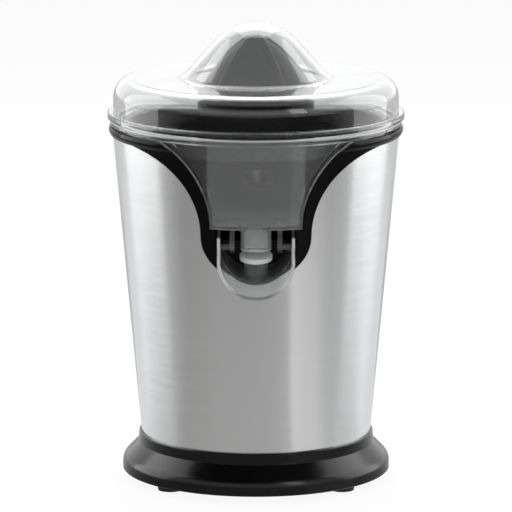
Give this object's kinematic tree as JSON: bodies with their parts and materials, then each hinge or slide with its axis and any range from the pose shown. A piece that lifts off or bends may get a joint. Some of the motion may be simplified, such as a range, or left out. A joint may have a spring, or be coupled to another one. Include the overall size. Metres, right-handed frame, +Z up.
{
  "type": "electric citrus juicer",
  "caption": "Press-to-start citrus juicer: tapered brushed steel body on a black base, clear collector with snap-up spout, sieve, ribbed reamer and clear domed lid.",
  "frame": {"origin": "on the body axis, on the surface that the feet stand on", "axes": "+Z up along the body axis; -Y is the front, where the spout is; +X is to the right seen from the front"},
  "size_m": [0.1776, 0.181, 0.2758],
  "materials": {
    "brushed_body": "brushed round the body",
    "black_gloss": "gloss",
    "black_satin": "satin",
    "black_rubber": "matt",
    "clear_cup": "clear",
    "clear_lid": "clear",
    "black_reamer": "satin",
    "grey_silicone": "matt",
    "zinc_steel": "zinc plated",
    "shaft_steel": "ground",
    "bronze": "sintered",
    "grey_nylon": "matt",
    "lamination": "bare stack",
    "copper_wire": "enamelled",
    "white_acetal": "satin",
    "switch_black": "matt",
    "switch_red": "matt"
  },
  "bodies": {
    "housing": {"rubber_feet": "black_rubber", "bottom_plate": "black_satin", "base_ring": "black_satin", "cord_gland": "black_rubber", "housing_screws": "zinc_steel", "steel_shell": "brushed_body", "collar_frame": "black_gloss", "well_liner": "black_satin", "deck": "black_satin", "shaft_bush": "bronze", "shaft_seal": "grey_silicone", "gearbox_case": "grey_nylon", "gearbox_cover": "grey_nylon", "gearbox_screws": "zinc_steel", "idler_pin": "shaft_steel", "stator_core": "lamination", "stator_coils": "copper_wire", "motor_bridge": "zinc_steel", "motor_bushes": "bronze", "motor_bolts": "zinc_steel", "microswitch": "switch_black"},
    "rotor": {"rotor_core": "lamination", "motor_shaft": "shaft_steel", "motor_pinion": "bronze"},
    "idler": {"idler_gear": "white_acetal"},
    "output": {"output_gear": "white_acetal", "hub_clip": "shaft_steel", "return_spring": "shaft_steel"},
    "drive": {"drive_shaft": "shaft_steel"},
    "plunger": {"switch_plunger": "switch_red"},
    "collector": {"juice_collector": "clear_cup", "sieve": "clear_cup", "spout_pins": "clear_cup"},
    "spout": {"spout": "clear_cup", "drip_stop": "grey_silicone"},
    "reamer": {"reamer": "black_reamer", "drive_socket": "white_acetal"},
    "lid": {"lid": "clear_lid"}
  },
  "joints": [
    {"name": "rotor_spin", "type": "hinge", "parent": "housing", "child": "rotor", "pos_m": [0, 0, 0.05], "axis": [0, 0, 1], "continuous": true},
    {"name": "idler_spin", "type": "hinge", "parent": "housing", "child": "idler", "pos_m": [0, 0.032, 0.1], "axis": [0, 0, 1], "continuous": true},
    {"name": "output_spin", "type": "hinge", "parent": "housing", "child": "output", "pos_m": [0, 0, 0.11], "axis": [0, 0, 1], "continuous": true},
    {"name": "reamer_press", "type": "slide", "parent": "output", "child": "drive", "axis": [0, 0, -1], "range_m": [0, 0.0025], "stiffness_N_per_m": 800, "springref_m": -0.006, "deforming": ["return_spring"]},
    {"name": "plunger_press", "type": "slide", "parent": "housing", "child": "plunger", "axis": [0, 0, -1], "range_m": [0, 0.0025]},
    {"name": "collector_lift", "type": "slide", "parent": "housing", "child": "collector", "axis": [0, 0, 1], "range_m": [0, 0.1]},
    {"name": "reamer_lift", "type": "slide", "parent": "drive", "child": "reamer", "axis": [0, 0, 1], "range_m": [0, 0.1]},
    {"name": "lid_lift", "type": "slide", "parent": "collector", "child": "lid", "axis": [0, 0, 1], "range_m": [0, 0.08]},
    {"name": "spout_snap", "type": "hinge", "parent": "collector", "child": "spout", "pos_m": [0, -0.05602, 0.15], "axis": [-1, 0, 0], "range_deg": [0, 10]}
  ],
  "couplings": [
    {"joint": "idler_spin", "follows": "rotor_spin", "ratio": -0.33333},
    {"joint": "output_spin", "follows": "rotor_spin", "ratio": 0.11111},
    {"joint": "plunger_press", "follows": "reamer_press", "ratio": 1},
    {"joint": "reamer_lift", "follows": "collector_lift", "ratio": 1}
  ]
}
